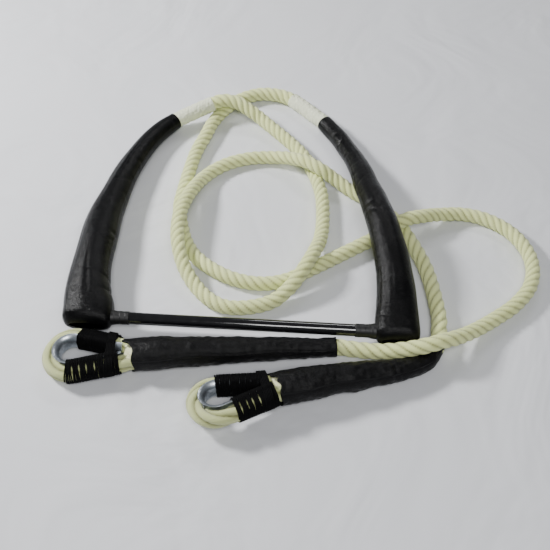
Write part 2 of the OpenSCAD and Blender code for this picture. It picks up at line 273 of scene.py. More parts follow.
def stitched(name, node_name, line, turn, stitch, lift, thickness, taper, sink=0, rise=0):
    """Short stitches along a line of stations, at one angle round it, settled."""
    _, across, up = directions(line[:, :3])
    out = across * math.cos(turn) + up * math.sin(turn)
    spots = (line[:, :3] + across * (line[:, 3] * math.cos(turn))[:, None]
             + up * (line[:, 4] * math.sin(turn))[:, None]) - out * sink
    t = np.linspace(0, 1, 6)[:, None]
    shape = angles(t, 6)
    radius = thickness * np.sqrt(np.sin(math.pi * (taper + (1 - 2 * taper) * t)))
    wide = np.broadcast_to(radius, (6, 6))
    stitches = []
    for start, end, away in zip(spots[:-1], spots[1:], out[:-1]):
        path = start + (end - start) * stitch * t + away * (lift * np.sin(math.pi * t) + rise)
        stitches.append(rings(path, wide, wide, shape))
    settle(many(name, stitches), "black thread", "black_thread", node_name)


def joined(name, pieces):
    """Several objects made one."""
    bpy.ops.object.select_all(action="DESELECT")
    for piece in pieces:
        piece.select_set(True)
    bpy.context.view_layer.objects.active = pieces[0]
    bpy.ops.object.join()
    pieces[0].name = name
    bpy.ops.object.select_all(action="DESELECT")
    return pieces[0]


def dress(piece, finish):
    """Gives a piece the one look of that name."""
    piece.data.materials.clear()
    piece.data.materials.append(look(finish))


def settle(piece, finish, slot, *nodes):
    """Gives a piece its look and lets it stand for its CAD nodes; its slot is not used."""
    dress(piece, finish)
    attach(piece, "root")
    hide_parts(*nodes)
    return piece


# ---- Shader groups and materials ----
def times(colour, share):
    """A colour made darker or lighter."""
    return tuple(share * c for c in colour)


def give(made, values):
    """Sets or links a node's sockets and settings; a socket's spaces may be written _."""
    for key, value in values.items():
        name = key.replace("_", " ") if isinstance(key, str) else key
        if isinstance(key, str) and name not in made.inputs:
            setattr(made, key, value)
        elif isinstance(value, bpy.types.NodeSocket):
            made.id_data.links.new(value, made.inputs[name])
        else:
            made.inputs[name].default_value = value


def node(tree, kind, **values):
    made = tree.nodes.new(kind)
    give(made, values)
    return made


def math_node(tree, operation, a, b, clamp=False):
    made = node(tree, "ShaderNodeMath", operation=operation, use_clamp=clamp)
    give(made, {0: a, 1: b})
    return made.outputs[0]


def mixed(tree, share, a, b):
    made = node(tree, "ShaderNodeMix", data_type="RGBA")
    a, b = ((*c, 1) if isinstance(c, tuple) else c for c in (a, b))
    give(made, {0: share, 6: a, 7: b})
    return made.outputs[2]


def placed(tree, space, kind, **values):
    """A texture node read at the piece's own Object or UV place."""
    return node(tree, kind, Vector=node(tree, "ShaderNodeTexCoord").outputs[space], **values)


def scaled(tree, value, share, start, clamp=False):
    """A value times a share, plus a start."""
    return math_node(tree, "ADD", math_node(tree, "MULTIPLY", value, share), start, clamp)


def shader_group(name, inputs, outputs, fill):
    """The shader group of that name, made and filled the first time it is asked for."""
    if name not in bpy.data.node_groups:
        group = bpy.data.node_groups.new(name, "ShaderNodeTree")
        for key, value in inputs.items():
            group.interface.new_socket(name=key, in_out="INPUT",
                                       socket_type="NodeSocketFloat").default_value = value
        for key in outputs:
            group.interface.new_socket(name=key, in_out="OUTPUT", socket_type="NodeSocketFloat")
        start, end = group.nodes.new("NodeGroupInput"), group.nodes.new("NodeGroupOutput")
        for key, value in fill(group, start.outputs).items():
            group.links.new(value, end.inputs[key])
    return bpy.data.node_groups[name]


def blotch_group():
    """Uneven tone over a surface: a mask from 0 to 1."""
    def fill(group, given):
        large = placed(group, "Object", "ShaderNodeTexNoise", Scale=given["Size"], Detail=4.0,
                       Roughness=0.6)
        centred = math_node(group, "SUBTRACT", large.outputs["Fac"], 0.5)
        return {"Mask": scaled(group, centred, given["Contrast"], 0.5, True)}

    return shader_group("Uneven tone", {"Size": 12.0, "Contrast": 1.0}, ["Mask"], fill)


def grain_group():
    """Leather grain: small pebbles with pores, and creases, as heights."""
    def fill(group, given):
        warp = placed(group, "Object", "ShaderNodeTexNoise", Scale=90.0, Detail=2.0)
        push, moved = (node(group, "ShaderNodeVectorMath", operation=kind)
                       for kind in ("MULTIPLY", "ADD"))
        give(push, {0: warp.outputs["Color"], 1: (0.004, 0.004, 0.004)})
        give(moved, {0: node(group, "ShaderNodeTexCoord").outputs["Object"], 1: push.outputs[0]})
        cells = node(group, "ShaderNodeTexVoronoi", feature="DISTANCE_TO_EDGE",
                     Vector=moved.outputs[0], Scale=given["Scale"])
        lines = placed(group, "Object", "ShaderNodeTexNoise", Scale=55.0, Detail=6.0,
                       Roughness=0.65)
        return {"Height": math_node(group, "MULTIPLY", cells.outputs["Distance"], 3.0, True),
                "Creases": lines.outputs["Fac"]}

    return shader_group("Leather grain", {"Scale": 700.0}, ["Height", "Creases"], fill)


def fibre_group():
    """Cotton yarns along a rope: fine lines with fuzz, as a height."""
    def fill(group, given):
        stretch = placed(group, "UV", "ShaderNodeMapping", Scale=(1.0, 1.4, 1.0))
        lines = node(group, "ShaderNodeTexWave", wave_type="BANDS", bands_direction="X",
                     Vector=stretch.outputs[0], Distortion=1.2, Detail=2.0, Detail_Scale=2.5,
                     Scale=math_node(group, "MULTIPLY", given["Yarns"], 0.32))
        fuzz = placed(group, "Object", "ShaderNodeTexNoise", Scale=900.0, Detail=3.0,
                      Roughness=0.7)
        share = math_node(group, "MULTIPLY", fuzz.outputs["Fac"], given["Fuzz"])
        return {"Height": math_node(group, "ADD", lines.outputs["Fac"], share)}

    return shader_group("Cotton yarns", {"Yarns": 40.0, "Fuzz": 0.5}, ["Height"], fill)


def uneven(tree, size, contrast):
    """Mask of uneven tone in one material."""
    return node(tree, "ShaderNodeGroup", node_tree=blotch_group(), Size=size,
                Contrast=contrast).outputs["Mask"]


def material(name):
    """A material, with its node tree and its Principled surface."""
    made = bpy.data.materials.new(name)
    made.use_nodes = True
    return made, made.node_tree, made.node_tree.nodes["Principled BSDF"]


def bump(tree, surface, height, distance, strength, **under):
    made = node(tree, "ShaderNodeBump", Height=height, Distance=distance, Strength=strength,
                **under)
    give(surface, {"Normal": made.outputs["Normal"]})


def cotton(tree, surface, light, shade, groove, yarns=44.0):
    give(surface, {"Roughness": 0.92, "Specular IOR Level": 0.15, "Sheen Weight": 0.35,
                   "Sheen Roughness": 0.6})
    fibres = node(tree, "ShaderNodeGroup", node_tree=fibre_group(), Yarns=yarns,
                  Fuzz=0.6).outputs["Height"]
    fine = mixed(tree, math_node(tree, "MULTIPLY", fibres, 0.35, True), times(shade, 0.86), light)
    body = mixed(tree, 0.35, mixed(tree, uneven(tree, 26.0, 1.6), shade, light), fine)
    loop_shade_share, groove_shade_mask = (node(tree, "ShaderNodeAttribute", attribute_name=key).outputs["Fac"]
                       for key in ("wear_and_loop_shade", "groove"))
    # Painted shade: the eye loop, marked by its attribute, is darkened towards half the light
    # colour.
    body = mixed(tree, math_node(tree, "MULTIPLY", loop_shade_share, 0.8), body, times(light, 0.5))
    # Painted shade: the valleys between the strands are darkened towards the groove shade colour.
    groove_shade_share = math_node(tree, "MULTIPLY", math_node(tree, "POWER", groove_shade_mask, 2.0), 0.95, True)
    give(surface, {"Base Color": mixed(tree, groove_shade_share, body, groove)})
    bump(tree, surface, fibres, 0.0006, 0.8)


def leather(tree, surface, colour, wear_and_loop_shade, roughness, shine, crease, grain=650.0):
    give(surface, {"Specular IOR Level": shine})
    pebbles = node(tree, "ShaderNodeGroup", node_tree=grain_group(), Scale=grain).outputs
    tone = uneven(tree, 9.0, 1.8)
    pores = math_node(tree, "SUBTRACT", 1.0, pebbles["Height"])
    rough = scaled(tree, tone, 0.18, roughness - 0.09)
    give(surface, {"Base Color": mixed(tree, math_node(tree, "MULTIPLY", pores, 0.5, True),
                                       mixed(tree, tone, colour, wear_and_loop_shade), times(colour, 0.4)),
                   "Roughness": scaled(tree, pores, 0.12, rough, True)})
    folds = node(tree, "ShaderNodeBump", Distance=0.004, Strength=crease,
                 Height=pebbles["Creases"])
    bump(tree, surface, pebbles["Height"], 0.00025, 0.6, Normal=folds.outputs["Normal"])


def painted(tree, surface, colour):
    give(surface, {"Coat Weight": 0.6, "Coat Roughness": 0.06})
    tone = uneven(tree, 60.0, 1.5)
    give(surface, {"Base Color": mixed(tree, tone, colour, times(colour, 2.2)),
                   "Roughness": scaled(tree, tone, 0.12, 0.05)})
    dimples = placed(tree, "Object", "ShaderNodeTexNoise", Scale=350.0, Detail=2.0)
    bump(tree, surface, dimples.outputs["Fac"], 0.0002, 0.25)


def zinc(tree, surface, colour, dull, roughness=0.30):
    give(surface, {"Metallic": 0.92})
    tone = uneven(tree, 110.0, 2.0)
    flakes = placed(tree, "Object", "ShaderNodeTexVoronoi", Scale=260.0, Randomness=1.0)
    spangle = math_node(tree, "MULTIPLY", flakes.outputs["Distance"], 0.7, True)
    share = scaled(tree, tone, 0.7, spangle)
    give(surface, {"Base Color": mixed(tree, share, colour, dull),
                   "Roughness": scaled(tree, share, 0.2, roughness - 0.08)})
    bump(tree, surface, tone, 0.0004, 0.5)


def taped(tree, surface, colour, shade, roughness, weave, weave_depth=0.5):
    """Tape: a fine weave or film along the UV map, with soft unevenness."""
    give(surface, {"Coat Roughness": 0.15})
    tone = uneven(tree, 45.0, 1.7)
    give(surface, {"Base Color": mixed(tree, tone, shade, colour),
                   "Roughness": scaled(tree, tone, 0.2, roughness - 0.1)})
    threads = [placed(tree, "UV", "ShaderNodeTexWave", wave_type="BANDS", bands_direction=axis,
                      Scale=scale, Distortion=0.4).outputs["Fac"]
               for axis, scale in (("X", weave * 0.11), ("Y", weave))]
    bump(tree, surface, math_node(tree, "MULTIPLY", *threads), 0.0003, weave_depth)


def twine(tree, surface, colour, light):
    give(surface, {"Roughness": 0.75, "Specular IOR Level": 0.05})
    lay = placed(tree, "UV", "ShaderNodeMapping", Scale=(1.0, 160.0, 1.0))
    yarns = node(tree, "ShaderNodeTexWave", wave_type="BANDS", bands_direction="DIAGONAL",
                 Vector=lay.outputs[0], Scale=1.0, Distortion=0.6).outputs["Fac"]
    share = math_node(tree, "MULTIPLY", yarns, uneven(tree, 80.0, 1.5))
    give(surface, {"Base Color": mixed(tree, share, colour, light)})
    bump(tree, surface, yarns, 0.0003, 0.6)


# Maker of each finish, its name, its colours and then its other values.
FINISHES = {
    # For cotton the third colour is the painted shade in the valleys between strands.
    "rope": (cotton, "Cotton rope", (0.92, 0.98, 0.47), (0.80, 0.86, 0.35), (0.14, 0.14, 0.04)),
    "bound rope": (cotton, "Bound cotton rope", (0.87, 0.87, 0.56), (0.76, 0.77, 0.46),
                   (0.42, 0.40, 0.18)),
    "arm leather": (leather, "Glossy arm leather", (0.0035, 0.0035, 0.004),
                    (0.003, 0.003, 0.0032), 0.20, 0.16, 0.28),
    "sleeve leather": (leather, "Soft sleeve leather", (0.005, 0.005, 0.0055),
                       (0.006, 0.006, 0.0062), 0.30, 0.14, 0.8, 520.0),
    "bar paint": (painted, "Black bar paint", (0.004, 0.004, 0.0045)),
    "collar steel": (zinc, "Collar steel", (0.45, 0.46, 0.47), (0.30, 0.31, 0.32)),
    "zinc": (zinc, "Galvanised thimble", (0.62, 0.66, 0.70), (0.36, 0.40, 0.44)),
    "black tape": (taped, "Black cuff tape", (0.006, 0.006, 0.0065), (0.004, 0.004, 0.004),
                   0.5, 60.0, 0.0),
    "white tape": (taped, "White cloth tape", (0.86, 0.89, 0.70), (0.66, 0.69, 0.50),
                   0.75, 260.0),
    "black twine": (twine, "Black waxed twine", (0.002, 0.002, 0.0022), (0.008, 0.008, 0.0085)),
    "black thread": (twine, "Black stitching thread", (0.008, 0.008, 0.009), (0.05, 0.05, 0.052)),
    "pale twine": (twine, "Pale seizing twine", (0.55, 0.52, 0.42), (0.78, 0.75, 0.64)),
    "felt": (cotton, "Felt padding", (0.62, 0.58, 0.48), (0.5, 0.46, 0.38), (0.4, 0.36, 0.3), 8.0),
    "plug": (painted, "Black plug plastic", (0.02, 0.02, 0.02)),
}
LOOKS = {}


def look(name):
    """The material of that name, made the first time it is asked for."""
    if name not in LOOKS:
        make, title, *values = FINISHES[name]
        LOOKS[name], tree, surface = material(title)
        make(tree, surface, *values)
    return LOOKS[name]


# ---- Settings ----
def number_field(name, default, description, **kind):
    """A number that the panel shows."""
    return bpy.props.FloatProperty(name=name, description=description, default=default, **kind)


def length_field(name, default, description):
    """A length that the panel shows."""
    return number_field(name, default, description, subtype="DISTANCE", unit="LENGTH")


class TrapezeStageSettings(bpy.types.PropertyGroup):
    """Camera and light."""

    azimuth: number_field("Camera turn", math.radians(3.8), "Turn of the camera",
                          subtype="ANGLE")
    elevation: number_field("Camera height", math.radians(50.0), "Angle above the floor",
                            subtype="ANGLE")
    distance: length_field("Camera distance", 1.957, "From the aim point")
    aim: bpy.props.FloatVectorProperty(name="Aim point",
                                       description="Point looked at, from the middle of the bar",
                                       default=(0.0557, 0.1608, 0.0), subtype="TRANSLATION")
    lens: number_field("Lens", 60.0, "Focal length", subtype="DISTANCE_CAMERA")
    floor_colour: bpy.props.FloatVectorProperty(name="Floor", description="Colour of the floor",
                                                default=(0.74, 0.75, 0.78), subtype="COLOR")
    key: number_field("Key light", 50.0, "Power of the key light", unit="POWER")


class TrapezeRopeSettings(bpy.types.PropertyGroup):
    """Laid rope."""

    lay: length_field("Lay length", LAY, "Length of one turn of a strand")
    depth: number_field("Groove depth", 0.32,
                        "Depth between strands, as a share of the radius", min=0.0, max=0.6)
    step: length_field("Ring step", 0.0035, "Distance between rings")
    sides: bpy.props.IntProperty(name="Points round", description="Points in a ring",
                                 default=42, min=24, max=72)


class TrapezeLeatherSettings(bpy.types.PropertyGroup):
    """Leather covers and sleeves, with the whipping twine."""

    lumps: length_field("Padding lumps", 0.0010, "Unevenness of the padding")
    folds: length_field("Folds", 0.0016, "Depth of the cross folds")
    sleeve_folds: length_field("Sleeve folds", 0.0014, "Depth of sleeve folds")
    twine: length_field("Whipping twine", 0.0030, "Diameter of the twine")


# ---- Stage ----
class TRAPEZE_OT_stage(bpy.types.Operator):
    """Add the floor, the soft lights and the camera"""

    bl_idname = "trapeze.stage"
    bl_label = "Stage"

    def execute(self, context):
        s = context.scene.trapeze_stage
        aim = Vector(MIDDLE) + Vector(s.aim)
        back = Vector((math.sin(s.azimuth), -math.cos(s.azimuth), 0)) * math.cos(s.elevation)
        bpy.ops.object.camera_add(location=aim + (back + Vector((0, 0, math.sin(s.elevation))))
                                  * s.distance)
        camera = context.object
        camera.rotation_euler = (math.pi / 2 - s.elevation, 0, s.azimuth)
        camera.data.lens = s.lens
        context.scene.camera = camera
        bpy.ops.mesh.primitive_plane_add(size=9.0, location=(0, 0, -0.0002))
        floor = context.object
        floor.name = "floor"
        made, tree, surface = material("Pale floor")
        colour = tuple(s.floor_colour)
        give(surface, {"Roughness": 0.9, "Base Color": mixed(
            tree, uneven(tree, 2.2, 0.6), times(colour, 0.93), colour)})
        creases = placed(tree, "Object", "ShaderNodeTexNoise", Scale=2.6, Detail=3.0,
                         Distortion=1.4)
        bump(tree, surface, creases.outputs["Fac"], 0.03, 0.5)
        floor.data.materials.append(made)
        self.light(context, "Key", (-2.1, 0.5, 1.7), (0.5, 0.4), s.key * 2.2)
        self.light(context, "Back", (0.5, 1.9, 1.9), (1.4, 0.3), s.key * 0.35)
        self.light(context, "Front", (0.4, -1.9, 2.5), (1.2, 0.9), s.key)
        world = bpy.data.worlds.new("Studio")
        world.use_nodes = True
        sky = world.node_tree.nodes["Background"]
        sky.inputs[0].default_value = (0.92, 0.95, 1.0, 1)
        sky.inputs[1].default_value = 0.14
        context.scene.world = world
        return {"FINISHED"}

    def light(self, context, name, place, size, power):
        spot = Vector(place)
        bpy.ops.object.light_add(type="AREA", location=spot)
        lamp = context.object
        lamp.name = name
        lamp.data.shape = "RECTANGLE"
        lamp.data.size, lamp.data.size_y = size
        lamp.data.energy = power
        lamp.rotation_euler = (Vector((0, -0.05, 0)) - spot).to_track_quat("-Z", "Y").to_euler()


# ---- Bar and what is hidden round its ends ----
class TRAPEZE_OT_bar(bpy.types.Operator):
    """Finish the bar, its plugs and collars, and the rope and padding inside the arms"""

    bl_idname = "trapeze.bar"
    bl_label = "Bar and inner pieces"

    def execute(self, context):
        looks = {"bar_tube": "bar paint"}
        for side in SIDES:
            looks[f"{side}_bar_plug"] = "plug"
            looks[f"{side}_inner_collar"] = looks[f"{side}_outer_collar"] = "collar steel"
            looks[f"{side}_core_rope"] = "bound rope"
            looks[f"{side}_bar_seizing"] = "pale twine"
            looks[f"{side}_arm_padding"] = "felt"
        for name, finish in looks.items():
            dress(NODES[name], finish)
        return {"FINISHED"}


# ---- Arms ----
class TRAPEZE_OT_arms(bpy.types.Operator):
    """Build the padded leather arm covers with their seams and stitching"""

    bl_idname = "trapeze.arms"
    bl_label = "Padded arms"

    seam_turn = {"left": math.radians(24), "right": math.radians(180 - 24)}

    def execute(self, context):
        s = context.scene.trapeze_leather
        for number, side in enumerate(SIDES):
            self.cover(side, number, s)
            self.stitching(side)
        return {"FINISHED"}

    def cover(self, side, number, s):
        inner = 1 if side == "left" else -1
        line, _, run = evenly(ARMS[side], 0.0035)
        turn = angles(line, sides=112)
        along = run[:, None]
        # Squarer shoulders at the bar end, round at the tip.
        square = np.clip(1 - along / 0.14, 0, 1) * 0.10
        cos, sin = np.abs(np.cos(turn)), np.abs(np.sin(turn))
        round_up = 1 + square * (2 * cos * sin) ** 2
        fade = np.clip(along / 0.03, 0, 1) * np.clip((run[-1] - along) / 0.03, 0.25, 1)
        ring_x = np.cos(turn) * 0.5
        lumps = hills(along * 9, ring_x * 0.6 + np.sin(turn) * 0.35, 11 + number, 12, 0.4, 1.5)
        folds = np.zeros_like(lumps)
        rng = np.random.default_rng(71 + number)
        for _ in range(26):
            at, lean = rng.uniform(0.04, run[-1]), rng.uniform(-0.02, 0.02)
            broad, reach = rng.uniform(0.0022, 0.0055), rng.uniform(0.3, 0.9)
            face = math.pi * (0 if inner == 1 else 1) + rng.uniform(-0.2, 1.1) * inner
            off = np.angle(np.exp(1j * (turn - face)))
            folds = folds - rng.uniform(0.4, 1.0) * np.exp(
                -((along - at - lean * off) / broad) ** 2 - (off / reach) ** 2)
        long_folds = hills(along * 5, ring_x * 5 + np.sin(turn) * 2, 31 + number, 10, 0.6, 1.4)
        push = fade * (s.lumps * 0.6 * lumps + s.folds * folds
                       + s.lumps * 0.3 * np.sign(long_folds) * np.abs(long_folds) ** 1.5)
        push = np.maximum(push, -0.0014) + 0.0003
        # The seam stands a little proud along the inner edge.
        seam = np.exp(-((np.angle(np.exp(1j * (turn - self.seam_turn[side])))) / 0.06) ** 2)
        push = push + fade * 0.0009 * seam
        rows = padded_rings(line, turn, round_up, push)
        rows[..., 2] = np.maximum(rows[..., 2], FLOOR_GAP)
        cover = skin(f"{side}_arm_leather", rows, along=run)
        settle(cover, "arm leather", "arm_leather", f"{side}_arm_cover")

    def stitching(self, side):
        """Short stitches beside the seam, one thread loop after another."""
        line, _, _ = evenly(ARMS[side], 0.0075, 0.24, 0.985)
        turn = self.seam_turn[side] - (0.10 if side == "left" else -0.10)
        stitched(f"{side}_arm_stitches", f"{side}_cover_stitching", line, turn, stitch=0.62,
                 lift=0.0006, thickness=0.0005, taper=0.08, rise=0.0004)


# ---- Tapes ----
class TRAPEZE_OT_tapes(bpy.types.Operator):
    """Wind the black cuffs on the bar and the white cloth tape at the arm tips"""

    bl_idname = "trapeze.tapes"
    bl_label = "Tapes"

    def execute(self, context):
        for number, side in enumerate(SIDES):
            self.cuff(side, number)
            self.tip_tape(side, number)
        return {"FINISHED"}

    def cuff(self, side, number):
        """Tape wound on the bar and up against the cover, with stepped turns."""
        low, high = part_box(f"{side}_bar_cuff")
        way = 1 if side == "right" else -1
        x0 = (low.x if way == 1 else high.x) - MIDDLE[0]
        length = high.x - low.x
        run = np.linspace(0, length + 0.006, 60)
        centres = np.stack([x0 + way * run, run * 0, run * 0 + BAR_Z], axis=-1)
        turn = angles(run, sides=72)
        step = (run[:, None] / 0.011 + turn / math.tau) % 1.0
        radius = BAR_R + 0.0006 + 0.0006 * step ** 0.5
        radius = radius + 0.0022 * np.clip((run[:, None] - 0.022) / 0.014, 0, 1) ** 1.5
        radius = radius + 0.0001 * hills(run[:, None] * 40, np.cos(turn), 5 + number, 10, 0.5, 1.6)
        radius[0] = BAR_R + 0.0001
        piece = skin(f"{side}_cuff_tape", rings(centres, radius, radius, turn), along=run)
        settle(piece, "black tape", "black_tape", f"{side}_bar_cuff")

    def tip_tape(self, side, number):
        """Cloth tape round the rope where it leaves the arm."""
        path = [p[:3] for p in ARMS[side][-2:]] + [ROUTES[side][0]]
        line, _, run = evenly(path, 0.0015, 0.44, 1.0)
        turn = angles(line, sides=72)
        step = (run[:, None] / 0.019 + turn / math.tau) % 1.0
        radius = TAPE_ROPE_R + 0.0004 + 0.0007 * np.minimum(1, step * 6) * (1 - 0.35 * step)
        radius = radius + 0.0006 * hills(run[:, None] * 70, np.cos(turn) * 2.5, 15 + number, 10)
        strand = np.cos(STRANDS * (turn + math.tau * run[:, None] / LAY))
        radius = radius + 0.00035 * strand
        radius[0] *= 0.94
        radius[-1] *= 0.94
        radius = np.minimum(radius, TAPE_ROPE_R + 0.0018)
        piece = skin(f"{side}_cloth_tape", rings(line, radius, radius, turn), along=run)
        settle(piece, "white tape", "white_tape", f"{side}_tip_tape")


# ---- Ropes ----
def strands(turn, turned, depth):
    """Radius share of a four-strand rope at each point, and how far into the valley between strands
    it is, which sets the painted shade there.
    """
    phase = (turn + turned[:, None]) * STRANDS / math.tau
    across = np.abs((phase % 1.0) - 0.5) * 2
    fall = 1 - np.sqrt(np.clip(1 - (across * 0.985) ** 2, 0, 1))
    return 1 - depth * fall, across ** 2


def whole_route(side):
    """The rope's route, on through the sleeve and round the thimble to the splice."""
    inside = [p[:3] for p in SLEEVES[side][::-1]][1:-1]
    eye = [tuple(p) for p in in_eye(side, eye_route())]
    return ROUTES[side] + inside + eye


class TRAPEZE_OT_ropes(bpy.types.Operator):
    """Lay the two four-strand cotton ropes, each from its arm round its thimble"""

    bl_idname = "trapeze.ropes"
    bl_label = "Ropes"

    def execute(self, context):
        s = context.scene.trapeze_rope
        for number, side in enumerate(SIDES):
            route = whole_route(side)
            line, shares, run = evenly(route, s.step)
            at = shares * (len(route) - 1)
            free, loop = len(ROUTES[side]) - 1, len(route) - len(eye_route())
            radius = np.interp(at, [0, 0.12 * free, 0.84 * free, free, free + 1, loop, loop + 7],
                               [TAPE_ROPE_R - 0.0005, ROPE_R, ROPE_R, SLEEVE_ROPE_R - 0.0005,
                                ROPE_R - 0.002, ROPE_R - 0.001, EYE_ROPE_R])
            line[:, 2] = np.maximum(line[:, 2], radius * 0.985)
            turn = angles(line, s.sides)
            # Round the thimble the strands run with a much longer lay.
            opened = s.lay * (3.0 if side == "left" else 8.0)
            lay = np.interp(at, [0.8 * free, 0.9 * free, loop - 1, loop + 3],
                            [s.lay, s.lay * 1.3, s.lay * 1.3, opened])
            turned = np.cumsum(math.tau * np.gradient(run) / lay)
            depth = np.interp(at, [loop, loop + 5], [s.depth, s.depth * 1.5])[:, None]
            # The second value marks where the painted shade in the valleys falls.
            share, groove = strands(turn, turned, depth)
            # Painted shade: the eye loop is marked here to be drawn darker.
            wear_and_loop_shade = np.interp(at, [loop, loop + 4], [0.0, 1.0])[:, None] + groove * 0
            fuzz = 1 + 0.012 * hills(run[:, None] * 130, np.cos(turn) * 3, 41 + number, 10)
            size = radius[:, None] * share * fuzz * 1.035
            rope = skin(f"{side}_cotton_rope", rings(line, size, size, turn),
                        attributes={"groove": groove, "wear_and_loop_shade": wear_and_loop_shade}, along=run)
            settle(rope, "rope", "rope_cotton", f"{side}_rope")
            context.scene[f"{side}_rope_length"] = float(run[-1])
            context.scene[f"{side}_rope_path"] = (line + MIDDLE).ravel().tolist()
        return {"FINISHED"}


# ---- Sleeves ----
class TRAPEZE_OT_sleeves(bpy.types.Operator):
    """Wrap the leather sleeves over the splices, with their flap and stitching"""

    bl_idname = "trapeze.sleeves"
    bl_label = "Sleeves"

    def execute(self, context):
        s = context.scene.trapeze_leather
        for number, side in enumerate(SIDES):
            self.sleeve(side, number, s)
            self.stitching(side)
        return {"FINISHED"}

    # Angle of the flap's edge round the sleeve, on the side towards the open floor.
    flap_turn = {"left": math.radians(38), "right": math.radians(30)}

    def sleeve(self, side, number, s):
        line, _, run = evenly(SLEEVES[side], 0.0025)
        turn = angles(line, sides=96)
        along = run[:, None]
        ring_x, ring_y = np.cos(turn), np.sin(turn)
        folds = hills(along * 22, ring_x * 0.9 + ring_y * 0.5, 51 + number, 14, 0.4, 1.3)
        folds = np.sign(folds) * np.abs(folds) ** 1.3
        fine = hills(along * 60, ring_x * 2.2 + ring_y * 1.4, 61 + number, 12, 0.5, 1.2)
        past = (turn - self.flap_turn[side] + 0.05 * np.sin(along * 40)) % math.tau
        below = math.tau - past
        flap = 0.0022 * np.clip(1 - past / 1.3, 0, 1) * np.clip(past / 0.03, 0, 1)
        hem = -0.0008 * np.exp(-((past - 0.20) / 0.04) ** 2) - 0.0012 * np.exp(-below / 0.08)
        push = s.sleeve_folds * (0.55 * folds + 0.42 * fine) + flap + hem
        grow = np.clip(1 - along / 0.01, 0, 1) * 0.0008
        push = np.maximum(push - 0.0004, -0.0016) + grow
        rows = padded_rings(line, turn, push=push)
        # The mouth at the eye is cut a little unevenly.
        t, _, _ = directions(line[:, :3])
        ragged = 0.003 * hills(np.zeros_like(turn[0]), ring_x[0] * 1.4 + ring_y[0], 71 + number, 6)
        # A tongue of leather reaches on over the far side.
        ragged = ragged + 0.015 * np.exp(-((turn[0] - 2.3) / 0.5) ** 2)
        ease = np.clip(1 - along / 0.03, 0, 1)
        rows = rows - t[:, None, :] * (ragged[None, :] * ease)[..., None]
        rows[..., 2] = np.maximum(rows[..., 2], FLOOR_GAP)
        lip = padded_rings(line[:9], turn[:9], push=-LEATHER)
        lip = lip - t[:9, None, :] * (ragged[None, :] * ease[:9])[..., None]
        rows = np.concatenate([lip[::-1], rows])
        length = np.concatenate([-run[1:10][::-1], run])
        sleeve = skin(f"{side}_leather_sleeve", rows, along=length)
        settle(sleeve, "sleeve leather", "sleeve_leather", f"{side}_sleeve")

    def stitching(self, side):
        line, _, _ = evenly(SLEEVES[side], 0.009, 0.03, 0.97)
        stitched(f"{side}_sleeve_stitches", f"{side}_sleeve_stitching", line,
                 self.flap_turn[side] + 0.30, stitch=0.6, lift=0.0007,
                 thickness=0.0006, taper=0.1, sink=0.0004)


# ---- Eyes ----
def in_eye(side, points):
    """Points written in an eye's own axes, put in their place."""
    middle, *turns = EYES[side]
    axes = np.eye(3)
    for axis, angle in zip((2, 1, 0), map(math.radians, turns)):
        i, j = (axis + 1) % 3, (axis + 2) % 3
        turn = np.eye(3)
        turn[i, i] = turn[j, j] = math.cos(angle)
        turn[j, i], turn[i, j] = math.sin(angle), -math.sin(angle)
        axes = axes @ turn
    return np.asarray(points) @ axes.T + np.array(middle)


LEG_START = (CROWN_R * math.sin(LEG_TURN), CROWN_R * math.cos(LEG_TURN))
LEG_RUN = (LEG_END - LEG_START[0]) / math.cos(LEG_TURN)


def leg_point(run, way):
    """Middle of the rope on a leg of the eye, way 1 for the upper leg and -1 the lower."""
    return (LEG_START[0] + run * math.cos(LEG_TURN),
            way * (LEG_START[1] - run * math.sin(LEG_TURN)), 0.0)


def eye_route():
    """Middle of the rope round the thimble, from one leg's root to the other's."""
    top = [(SPLICE_X + 0.014, ROPE_R + 0.0002, 0.0), (SPLICE_X, ROPE_R + 0.0004, 0.0)]
    top += [leg_point(LEG_RUN * i / 4, 1) for i in (4, 3, 2, 1)]
    turns = np.linspace(math.pi / 2 - LEG_TURN, math.pi * 1.5 + LEG_TURN, 21)
    crown = [(CROWN_R * math.cos(a), CROWN_R * math.sin(a), 0.0) for a in turns]
    bottom = [(p[0], -p[1], 0.0) for p in top[::-1]]
    return top + crown + bottom


